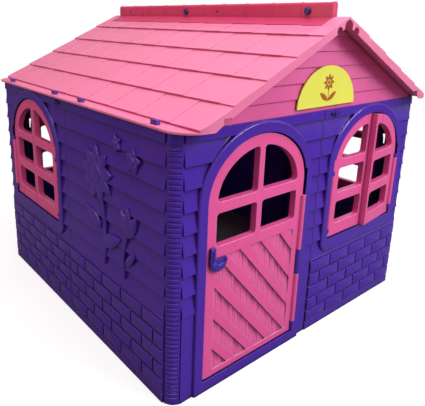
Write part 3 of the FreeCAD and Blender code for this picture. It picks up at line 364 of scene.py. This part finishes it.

# ---- Rose mouldings: door, shutters and gables
# Rose plastic with a soft sheen; light gathers on the rounded frames of the panes, and a highlight
# is painted there too. The leaves hang on their hinge pins; the gables are duller and stand on the
# walls under the roof.

# Painted highlight: a near-white rose is mixed strongly onto the arrises of the leaves.
rose = moulded("rose_moulding", "ff5fa6", "9a1e54", "ffc4e0",
               roughness=0.28, wave=0.0006, arris=0.0034, shine=0.95)
gable_rose = moulded("gable_rose_moulding", "ee66a6", "9a1e54", "ffb4d6",
                     roughness=0.32, wave=0.0009, arris=0.0024)
dress(rose, "door_leaf",
      *["shutter_" + side + "_" + hand for side in SIDES for hand in ("left", "right")])
dress(gable_rose, "gable_front", "gable_back")

# ---- Split shingles on the door
# Between the diagonal slats the leaf carries rows of narrow moulded shingles, upright in the
# door, of uneven width and thickness, each row running down under the next slat.

MM = 0.001
WALL_PLANE = -636.0


def wall_frame(side, middle):
    """Frame of a panel in millimetres: x along the wall, y inwards, z up."""
    turn = Matrix.Rotation(math.radians(90 * side), 4, "Z")
    return Matrix.Scale(MM, 4) @ turn @ Matrix.Translation((middle, WALL_PLANE, 0))


def add_mesh(name, points, faces, material, place, crease):
    """Smooth mesh object with sharp edges where its faces turn by more than the crease."""
    data = bpy.data.meshes.new(name)
    data.from_pydata(points, [], faces)
    data.transform(place)
    data.materials.append(material)
    data.validate()
    data.shade_smooth()
    data.set_sharp_from_angle(angle=math.radians(crease))
    return add_object(name, data)


def clip(outline, keep):
    """Part of a convex outline on the side where keep is positive."""
    inside = []
    for i, point in enumerate(outline):
        last = outline[i - 1]
        a, b = keep(last), keep(point)
        if (a > 0) != (b > 0):
            t = a / (a - b)
            inside.append((last[0] + t * (point[0] - last[0]), last[1] + t * (point[1] - last[1])))
        if b > 0:
            inside.append(point)
    return inside


SLAT_ANGLE = math.radians(49)
SLAT_PITCH = 71.0
SLAT_FLAT = 31.0
SLAT_FOOT = 258.5
SLAT_ROWS = range(-4, 4)
SLAT_FACE = -4.0
SLAT_FALL = 3.5
STEEP = math.tan(SLAT_ANGLE)
FIELD = (-179.0, 179.0, 64.0, 453.0)
FIELD_CORNER = 7.2
REACH = 184.0
SHINGLE_WIDTH = (8.0, 17.0)
SHINGLE_THICKNESS = (0.4, 2.6)
SHINGLE_SHADE = (0.75, 1.0)
SHINGLE_GAP = 0.35
SHINGLE_ROOT = -2.0
SHINGLE_EASE = 0.4
SHINGLE_TOP = 0.895
BEAD_HALF = 2.2
BEAD_RINGS = ((3.0, 1.0), (-0.2, 1.0), (-0.9, 0.45))


def slat_place(x, z):
    """Distance of a point of the door across the slats."""
    return x * math.sin(SLAT_ANGLE) + (z - SLAT_FOOT) * math.cos(SLAT_ANGLE)


def in_field(outline):
    """Clip an outline to the sunk field of the door, corners cut off."""
    x0, x1, z0, z1 = FIELD
    outline = clip(outline, lambda p: p[0] - x0)
    outline = clip(outline, lambda p: x1 - p[0])
    outline = clip(outline, lambda p: p[1] - z0)
    outline = clip(outline, lambda p: z1 - p[1])
    outline = clip(outline, lambda p: (p[0] - x0) + (p[1] - z0) - FIELD_CORNER)
    outline = clip(outline, lambda p: (x1 - p[0]) + (p[1] - z0) - FIELD_CORNER)
    outline = clip(outline, lambda p: (p[0] - x0) + (z1 - p[1]) - FIELD_CORNER)
    return clip(outline, lambda p: (x1 - p[0]) + (z1 - p[1]) - FIELD_CORNER)


def slope_share(x, z, row):
    """0 where a slat's flat band ends, 1 where the slope runs under the next slat."""
    return (slat_place(x, z) - row * SLAT_PITCH - SLAT_FLAT) / (SLAT_PITCH - SLAT_FLAT)


def slope_depth(along):
    """Face of the sloping part of a slat, as y in the door's own frame."""
    return SLAT_FACE + SLAT_FALL * along


def close_rings(faces, first, count, rings):
    """Skin over rings of points that follow one another, with both end rings closed."""
    for ring in range(rings - 1):
        a = first + ring * count
        for i in range(count):
            j = (i + 1) % count
            faces.append((a + i, a + j, a + count + j, a + count + i))
    faces.append(tuple(range(first + (rings - 1) * count, first + rings * count)))
    faces.append(tuple(reversed(range(first, first + count))))


def shingles():
    chance = random.Random(4)
    points, faces, under = [], [], []
    for row in SLAT_ROWS:
        x = -REACH
        while x < REACH:
            wide = chance.uniform(*SHINGLE_WIDTH)
            thick = chance.uniform(*SHINGLE_THICKNESS)
            shaded = chance.uniform(*SHINGLE_SHADE)
            low = SLAT_FOOT + (row * SLAT_PITCH + SLAT_FLAT + 0.5) / math.cos(SLAT_ANGLE)
            high = SLAT_FOOT + (row + 1) * SLAT_PITCH / math.cos(SLAT_ANGLE)
            x0, x1 = x + SHINGLE_GAP, x + wide - SHINGLE_GAP
            outline = in_field([(x0, low - x0 * STEEP), (x1, low - x1 * STEEP),
                                (x1, high - x1 * STEEP), (x0, high - x0 * STEEP)])
            x += wide
            if len(outline) < 3:
                continue
            count, first = len(outline), len(points)
            middle = sum(p[0] for p in outline) / count
            rings = ((1.0, SHINGLE_ROOT), (1.0, thick - SHINGLE_EASE), (SHINGLE_TOP, thick))
            for share, lift in rings:
                for px, pz in outline:
                    along = slope_share(px, pz, row)
                    points.append((middle + (px - middle) * share,
                                   slope_depth(along) - lift * max(along, 0.1), pz))
                    under.append(along * shaded)
            close_rings(faces, first, count, len(rings))
    return points, faces, under


def slat_beads():
    """Raised bead along the upper edge of every slat, as prisms clipped to the field."""
    points, faces = [], []
    for row in SLAT_ROWS:
        edge = SLAT_FOOT + (row * SLAT_PITCH + SLAT_FLAT) / math.cos(SLAT_ANGLE)
        low, high = edge - BEAD_HALF, edge + BEAD_HALF
        outline = in_field([(-REACH, low + REACH * STEEP), (REACH, low - REACH * STEEP),
                            (REACH, high - REACH * STEEP), (-REACH, high + REACH * STEEP)])
        if len(outline) < 3:
            continue
        count, first = len(outline), len(points)
        for lift, share in BEAD_RINGS:
            for x, z in outline:
                off = slat_place(x, z) - row * SLAT_PITCH - SLAT_FLAT
                drawn = off * (1 - share)
                points.append((x - drawn * math.sin(SLAT_ANGLE), SLAT_FACE + lift,
                               z - drawn * math.cos(SLAT_ANGLE)))
        close_rings(faces, first, count, len(BEAD_RINGS))
    return points, faces


UNDER_SLAT = (0.42, 1.0)
UNDER_SHADE = 0.92


def shade_under(material, deep):
    """Paint shade into a moulded finish where the mesh says that a slat hangs over it."""
    tree = material.node_tree
    plastic = next(n for n in tree.nodes if n.type == "BSDF_PRINCIPLED")
    colour = plastic.inputs["Base Color"].links[0].from_socket
    hidden = node(tree, "ShaderNodeAttribute", attribute_name="under")
    share = map_range(tree, hidden.outputs["Fac"], *UNDER_SLAT, 0.0, UNDER_SHADE, smooth=True)
    shadow = node(tree, "ShaderNodeMix", data_type="RGBA")
    shadow.inputs[7].default_value = srgb(deep)
    tree.links.new(share, shadow.inputs[0])
    tree.links.new(colour, shadow.inputs[6])
    tree.links.new(shadow.outputs[2], plastic.inputs["Base Color"])


DOOR_MIDDLE = -300.9
shingle_rose = moulded("shingle_rose_moulding", "ff68ac", "8f1a4c", "ffb0d4", roughness=0.34)
# Painted shadow: the shingles' colour darkens towards the slat that hangs over them.
shade_under(shingle_rose, "7c1440")
shingle_points, shingle_faces, shingle_under = shingles()
door_shingles = add_mesh("door_shingles", shingle_points, shingle_faces, shingle_rose,
                         wall_frame(0, DOOR_MIDDLE), 20)
shade = door_shingles.data.attributes.new("under", "FLOAT", "POINT")
shade.data.foreach_set("value", shingle_under)
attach(door_shingles, "door")

beads = add_mesh("slat_beads", *slat_beads(), rose, wall_frame(0, DOOR_MIDDLE), 40)
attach(beads, "door")

# ---- Latch lever
# One violet moulding: an upright grip and a half-moon bowl to the side, ribbed across, with
# the hub and the shaft that goes through the door's stile and turns in it.

LATCH_AXIS = (-193.0, 440.0)
LEVER_FACE = -16.5
LEVER_BACK = -6.5
LEVER_SOFT = 2.2
GRIP_SIDES = (-7.0, 2.0)
GRIP_TOP = 49.0
GRIP_CORNER = 5.5
GRIP_RIB = (-2.5, 6.0, 46.0)
GRIP_RIB_HALF = 3.2
TIP = (51.0, 9.0)
TIP_RADIUS = 4.0
HOLLOW = (28.0, 15.0)
HOLLOW_RADIUS = 21.0
BOWL = (20.5, 8.5)
BOWL_RADIUS = 34.5
WEB_RADIUS = 31.0
WEB_TOP = [(49.0, 11.0), (12.0, 14.5), (6.0, 22.0), (-8.0, 22.0)]
RIB_ANGLES = (235, 270, 305)
RIB_NEAR = 25.0
RIB_FAR = 31.5
RIB_HALF = 1.6
HUB_RADIUS = 10.0
SHAFT_RADIUS = 8.0
SHAFT_END = 27.0


def around(centre, radius, angle):
    """Point on a circle, its angle in radians."""
    return centre[0] + radius * math.cos(angle), centre[1] + radius * math.sin(angle)


def arc(centre, radius, start, end, steps):
    """Points along an arc, angles in degrees."""
    places = []
    for i in range(steps + 1):
        angle = math.radians(start + (end - start) * i / steps)
        places.append(around(centre, radius, angle))
    return places


def add_prism(points, faces, outline, front, back, soft=0.0):
    """Upright slab over an outline; its front edge is rounded by drawing the face in."""
    count, first = len(outline), len(points)
    area = sum(a[0] * b[1] - b[0] * a[1] for a, b in zip(outline, outline[1:] + outline[:1]))
    hand = 1 if area > 0 else -1
    rings = [(0.0, back), (0.0, front + soft), (soft * 0.3, front + soft * 0.3), (soft, front)]
    if soft == 0:
        rings = rings[:1] + [(0.0, front)]
    for inset, y in rings:
        for i, (x, z) in enumerate(outline):
            before, after = outline[i - 1], outline[(i + 1) % count]
            run = math.hypot(after[0] - before[0], after[1] - before[1])
            nx, nz = -(after[1] - before[1]) / run * hand, (after[0] - before[0]) / run * hand
            points.append((x + nx * inset, y, z + nz * inset))
    close_rings(faces, first, count, len(rings))


def latch_lever():
    points, faces = [], []

    def slab(outline, front, back, soft=0.0):
        on_axis = [(LATCH_AXIS[0] + x, LATCH_AXIS[1] + z) for x, z in outline]
        add_prism(points, faces, on_axis, front, back, soft)

    left, right = GRIP_SIDES
    grip = (arc((right, GRIP_TOP), GRIP_CORNER, 0, 90, 5)
            + arc((left, GRIP_TOP), GRIP_CORNER, 90, 180, 5))
    bowl = arc(BOWL, BOWL_RADIUS, 180, 360, 26)
    tip = arc(TIP, TIP_RADIUS, 20, 150, 6)
    inside = arc(HOLLOW, HOLLOW_RADIUS, -30, -176, 18)
    slab(grip + bowl + tip + inside, LEVER_FACE, LEVER_BACK, LEVER_SOFT)
    web = arc(BOWL, WEB_RADIUS, 185, 355, 24) + WEB_TOP
    slab(web, LEVER_FACE + 4.5, LEVER_BACK - 0.5)
    across, low, high = GRIP_RIB
    grip_rib = (arc((across, high), GRIP_RIB_HALF, 0, 180, 8)
                + arc((across, low), GRIP_RIB_HALF, 180, 360, 8))
    slab(grip_rib, LEVER_FACE - 3.5, LEVER_FACE + 1, 1.0)
    for angle in RIB_ANGLES:
        turn = math.radians(angle)
        aside = (-math.sin(turn), math.cos(turn))
        near, far = around(BOWL, RIB_NEAR, turn), around(BOWL, RIB_FAR, turn)
        corners = ((near, -RIB_HALF), (far, -RIB_HALF), (far, RIB_HALF), (near, RIB_HALF))
        rib = [(end[0] + half * aside[0], end[1] + half * aside[1]) for end, half in corners]
        slab(rib, LEVER_FACE - 2.0, LEVER_FACE + 1, 0.7)
    slab(arc((0.0, 0.0), HUB_RADIUS, 0, 345, 23), LEVER_FACE - 4.5, LEVER_FACE + 1, 1.5)
    slab(arc((0.0, 0.0), SHAFT_RADIUS, 0, 345, 23), LEVER_FACE + 1, SHAFT_END)
    return points, faces


lever_violet = moulded("lever_violet_moulding", "4527a4", "160a52", "8a74ea",
                       roughness=0.26, wave=0.0002)
lever = add_mesh("latch_lever", *latch_lever(), lever_violet, wall_frame(0, DOOR_MIDDLE), 40)
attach(lever, "latch")
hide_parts("latch_handle")

# ---- Bricks
# The lower part of every panel but the door's is moulded as coursed bricks with soft,
# pillow-like faces that stand up a little from the sheet they are one piece with.

BRICK_TOP = 287.6
BRICK_COURSE = 51.0
BRICK_LONG = 123.0
BRICK_COUNT = 5
PANEL_HALF = 300.7
BRICK_FACE = -7.0
BRICK_GAP = 2.4
BRICK_CORNER = 5.0
BRICK_SOFT = 3.2
BRICK_PROUD = (1.6, 2.4)
BRICK_ROOT = 2.0


def brick_faces(seed):
    chance = random.Random(seed)
    points, faces = [], []
    for row in range(BRICK_COUNT):
        high = BRICK_TOP - row * BRICK_COURSE
        low = high - BRICK_COURSE
        joints = [-PANEL_HALF]
        x = -PANEL_HALF + BRICK_LONG * (0.5 if row % 2 else 1.0)
        while x < PANEL_HALF - BRICK_LONG / 4:
            joints.append(x)
            x += BRICK_LONG
        joints.append(PANEL_HALF)
        for x0, x1 in zip(joints, joints[1:]):
            inset = BRICK_GAP + BRICK_CORNER
            outline = []
            for cx, cz, start in ((x1 - inset, high - inset, 0), (x0 + inset, high - inset, 90),
                                  (x0 + inset, low + inset, 180), (x1 - inset, low + inset, 270)):
                outline += arc((cx, cz), BRICK_CORNER, start, start + 90, 4)
            face = BRICK_FACE - chance.uniform(*BRICK_PROUD)
            add_prism(points, faces, outline, face, BRICK_FACE + BRICK_ROOT, BRICK_SOFT)
    return points, faces


PANELS = (("front_window", 0, 300.9), ("right_window", 1, -300.9), ("right_plain", 1, 300.9),
          ("back_plain", 2, -300.9), ("back_window", 2, 300.9), ("left_window", 3, -300.9),
          ("left_plain", 3, 300.9))
for seed, (panel, side, middle) in enumerate(PANELS):
    courses = add_mesh("bricks_" + panel, *brick_faces(seed), violet, wall_frame(side, middle), 40)
    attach(courses, "house")

# ---- Flowers moulded in relief on the left wall
# Domed cushions of the panel's own plastic that stand out over the boards, their backs
# running into the sheet: a tall daisy on a bent stem, a tulip and two small blossoms.

DOME_SHARES = (0.97, 0.90, 0.78, 0.60, 0.38, 0.18)


def cushion(points, faces, outline, rim, crown, back):
    """Closed dome over an outline: straight sides from back to rim, then a rounded top."""
    count = len(outline)
    middle = (sum(p[0] for p in outline) / count, sum(p[1] for p in outline) / count)
    first = len(points)
    rings = [(1.0, back), (1.0, rim)]
    for share in DOME_SHARES:
        rings.append((share, rim - crown * math.sqrt(1 - share * share)))
    for share, y in rings:
        for u, v in outline:
            points.append((middle[0] + (u - middle[0]) * share, y,
                           middle[1] + (v - middle[1]) * share))
    for ring in range(len(rings) - 1):
        a = first + ring * count
        for i in range(count):
            j = (i + 1) % count
            faces.append((a + i, a + j, a + count + j, a + count + i))
    points.append((middle[0], rim - crown, middle[1]))
    top = first + (len(rings) - 1) * count
    for i in range(count):
        faces.append((top + i, top + (i + 1) % count, len(points) - 1))
    faces.append(tuple(reversed(range(first, first + count))))


def petal(root, angle, length, width, blunt=0.75, steps=14):
    """Outline of a petal or leaf that grows from its root at an angle in degrees."""
    turn = math.radians(angle)
    upper, lower = [], []
    for i in range(steps + 1):
        t = i / steps
        half = width / 2 * math.sin(math.pi * t ** blunt) ** 0.8
        upper.append((length * t, half))
        lower.append((length * t, -half))
    outline = lower + upper[-2:0:-1]
    return [(root[0] + u * math.cos(turn) - v * math.sin(turn),
             root[1] + u * math.sin(turn) + v * math.cos(turn)) for u, v in outline]


def disc(centre, radius, steps=28):
    return [around(centre, radius, 2 * math.pi * i / steps) for i in range(steps)]


def ribbon(points, faces, path, half, rim, crown, back):
    """Rounded strip along a path, tapered to its ends."""
    first = len(points)
    profile = ((-1, back), (-1, rim), (-0.7, rim - crown * 0.7), (0, rim - crown),
               (0.7, rim - crown * 0.7), (1, rim), (1, back))
    for i, (u, v) in enumerate(path):
        a, b = path[max(i - 1, 0)], path[min(i + 1, len(path) - 1)]
        run = math.hypot(b[0] - a[0], b[1] - a[1])
        nu, nv = -(b[1] - a[1]) / run, (b[0] - a[0]) / run
        ease = min(1.0, 0.35 + 3 * min(i, len(path) - 1 - i) / len(path))
        for across, y in profile:
            points.append((u + nu * half * across * ease, y, v + nv * half * across * ease))
    wide = len(profile)
    for i in range(len(path) - 1):
        for k in range(wide):
            a, b = first + i * wide + k, first + i * wide + (k + 1) % wide
            faces.append((a, a + wide, b + wide, b))
    faces.append(tuple(first + k for k in range(wide)))
    faces.append(tuple(first + (len(path) - 1) * wide + k for k in reversed(range(wide))))


def bow(start, end, sag, steps=16):
    """Points of a bent line between two places."""
    run = math.hypot(end[0] - start[0], end[1] - start[1])
    nu, nv = -(end[1] - start[1]) / run, (end[0] - start[0]) / run
    places = []
    for i in range(steps + 1):
        t = i / steps
        out = sag * math.sin(math.pi * t)
        places.append((start[0] + (end[0] - start[0]) * t + nu * out,
                       start[1] + (end[1] - start[1]) * t + nv * out))
    return places


RELIEF_RIM = -8.5
RELIEF_BACK = 4.0


def wall_relief():
    points, faces = [], []

    def pad(outline, rim=RELIEF_RIM, crown=4.0):
        cushion(points, faces, outline, rim, crown, RELIEF_BACK)

    def stem(start, end, sag, half):
        ribbon(points, faces, bow(start, end, sag), half, RELIEF_RIM, 2.5, RELIEF_BACK)

    daisy = (-70.0, 640.0)
    stem((daisy[0] + 6, daisy[1] - 20), (-30.0, 330.0), 26.0, 7.5)
    for i in range(9):
        angle = 90 + 40 * i
        pad(petal(around(daisy, 24, math.radians(angle)), angle, 74, 46, 0.72))
    pad(disc(daisy, 33), RELIEF_RIM - 2.5, 4.0)
    pad(petal((-52.0, 455.0), 152, 120, 46))
    pad(petal((-42.0, 405.0), 24, 128, 50))
    tulip = (120.0, 505.0)
    stem((tulip[0] - 2, tulip[1] - 10), (96.0, 330.0), -14.0, 6.0)
    for angle, length in ((118, 92), (62, 92), (90, 98)):
        rim = RELIEF_RIM - (2.0 if angle == 90 else 0)
        pad(petal((tulip[0], tulip[1] - 24), angle, length, 42, 0.85), rim)
    pad(petal((104.0, 380.0), 48, 84, 28))
    for centre, size, turn in (((150.0, 735.0), 1.0, 10), ((60.0, 770.0), 0.72, 40)):
        for i in range(5):
            angle = turn + 72 * i
            root = around(centre, 6 * size, math.radians(angle))
            pad(petal(root, angle, 34 * size, 27 * size, 0.7), RELIEF_RIM, 3.0)
        pad(disc(centre, 12 * size), RELIEF_RIM - 2.0, 3.0)
    return points, faces


LEFT_MIDDLE = 300.9
relief = add_mesh("left_wall_flowers", *wall_relief(), violet, wall_frame(3, LEFT_MIDDLE), 50)
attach(relief, "house")

# ---- Ridge caps
# Hollow plastic mouldings of a deeper rose than the rest. They sit over the joint of the roof
# halves, and the ridge bolts go across their crest.

crest_rose = moulded("crest_rose_moulding", "d6406f", "7c1238", "f58ab4",
                     roughness=0.30, wave=0.0004)
dress(crest_rose, "ridge_cap_front", "ridge_cap_back")

# ---- Roof
# Two large rose mouldings with a duller skin than the door; their tone, lighter than the door's
# rose, is painted top light. They drop over tabs at the eaves and are bolted to each other at the
# ridge.

# Painted light: the roof's base is a lighter rose than the door's, standing in for the light from
# above.
top_lit_roof_rose = moulded("roof_rose_moulding", "f884ae", "d25c88", "ffc0da",
                    roughness=0.36, wave=0.0012)
dress(top_lit_roof_rose, "roof_right", "roof_left")

# ---- Roof tiles
# Each course of the roof halves is moulded as overlapping tiles: every tile stands a little
# higher at its front side, so its edge catches the light beside its neighbour.

RIDGE_Z = 1150.06
SLOPE_COS = 0.89799
SLOPE_SIN = 0.44002
COURSES = (62.0, 135.0, 270.0, 405.0, 540.0, 661.5)
FIELD_HALF = 640.0
TILE_PITCH = 160.0
TILE_COUNT = 9
TILE_LEAST = 10.0
TILE_GAP = 0.4
TILE_LIFTS = (2.0, 0.4)
TILE_ROOT = 0.6
TILE_HEAD = 1.0
TILE_TUCK = 1.0
TILE_LIP = 6.8
EAVE_LIP = 5.0
TILE_SIDES = ((0, 2, 3, 1), (4, 5, 7, 6), (0, 1, 5, 4), (2, 6, 7, 3), (1, 3, 7, 5), (0, 4, 6, 2))


def roof_tiles():
    points, faces = [], []
    for hand in (-1, 1):
        for row, (high, low) in enumerate(zip(COURSES, COURSES[1:])):
            shift = 0.0 if row % 2 else TILE_PITCH / 2
            joints = [-FIELD_HALF]
            for tile in range(TILE_COUNT):
                y = -FIELD_HALF + shift + tile * TILE_PITCH
                if abs(y) < FIELD_HALF - TILE_LEAST:
                    joints.append(y)
            joints.append(FIELD_HALF)
            for y0, y1 in zip(joints, joints[1:]):
                first = len(points)
                lip = TILE_LIP if low < COURSES[-1] else EAVE_LIP
                for y, lift in zip((y0 + TILE_GAP, y1 - TILE_GAP), TILE_LIFTS):
                    for along, base in ((high + TILE_TUCK, TILE_HEAD), (low, lip)):
                        for up in (base - TILE_ROOT, base + lift):
                            points.append((hand * (along * SLOPE_COS + up * SLOPE_SIN), y,
                                           RIDGE_Z - along * SLOPE_SIN + up * SLOPE_COS))
                for quad in TILE_SIDES:
                    faces.append(tuple(first + k for k in (quad if hand > 0 else quad[::-1])))
    return points, faces


tiles = add_mesh("roof_tiles", *roof_tiles(), top_lit_roof_rose, Matrix.Scale(MM, 4), 20)
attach(tiles, "house")

# ---- Plate on the gable
# Plate of yellow moulded plastic, half round, with a smooth face. Two pegs on its back go
# through the front gable.

yellow = moulded("yellow_moulding", "fffa62", "b39210", "fffcc0", roughness=0.32, wave=0.0002)
dress(yellow, "gable_plate")

# ---- Print on the plate
# A flower on a short stem with two leaves, in a raised orange-brown ink that is printed on
# the plate's face.

orange_ink = moulded("orange_ink", "b8671c", "6b3408", "e09a4a", roughness=0.45, wave=0.0)
PLATE_FACE = -8.2
INK_RIM = PLATE_FACE - 0.3
INK_BACK = PLATE_FACE + 0.5


def plate_print():
    points, faces = [], []

    def pad(outline):
        cushion(points, faces, outline, INK_RIM, 0.5, INK_BACK)

    flower = (0.0, 946.0)
    for i in range(8):
        angle = 45.0 * i
        pad(petal(around(flower, 8, math.radians(angle)), angle, 21, 12, 0.8, 8))
    pad(disc(flower, 6.5, 16))
    ribbon(points, faces, bow((0.0, 924.0), (0.0, 882.0), 1.5), 1.6, INK_RIM, 0.3, INK_BACK)
    for hand in (-1, 1):
        pad(petal((hand * 1.0, 886.0), 90 - hand * 58, 52, 17, 0.9, 12))
    return points, faces


FRONT_MIDDLE = 0.0
print_on_plate = add_mesh("plate_print", *plate_print(), orange_ink,
                          wall_frame(0, FRONT_MIDDLE), 50)
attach(print_on_plate, "house")

# ---- Latch screw
# Small screw of zinc-plated steel, brushed by its driver. It holds the tongue on the end of
# the lever's shaft.

STEEL_GLOSS = (0.22, 0.42)
STEEL_GREY = (0.62, 0.63, 0.65, 1)


def plated_steel():
    material, tree, out = new_material("zinc_plated_steel")
    coords = node(tree, "ShaderNodeTexCoord")
    brush = node(tree, "ShaderNodeTexNoise", in_Scale=900.0, in_Detail=2.0)
    metal = node(tree, "ShaderNodeBsdfPrincipled", in_Metallic=1.0, in_Base_Color=STEEL_GREY)
    tree.links.new(coords.outputs["Object"], brush.inputs["Vector"])
    gloss = map_range(tree, brush.outputs["Fac"], 0.0, 1.0, *STEEL_GLOSS)
    tree.links.new(gloss, metal.inputs["Roughness"])
    tree.links.new(metal.outputs[0], out.inputs["Surface"])
    return material


dress(plated_steel(), "latch_screw")
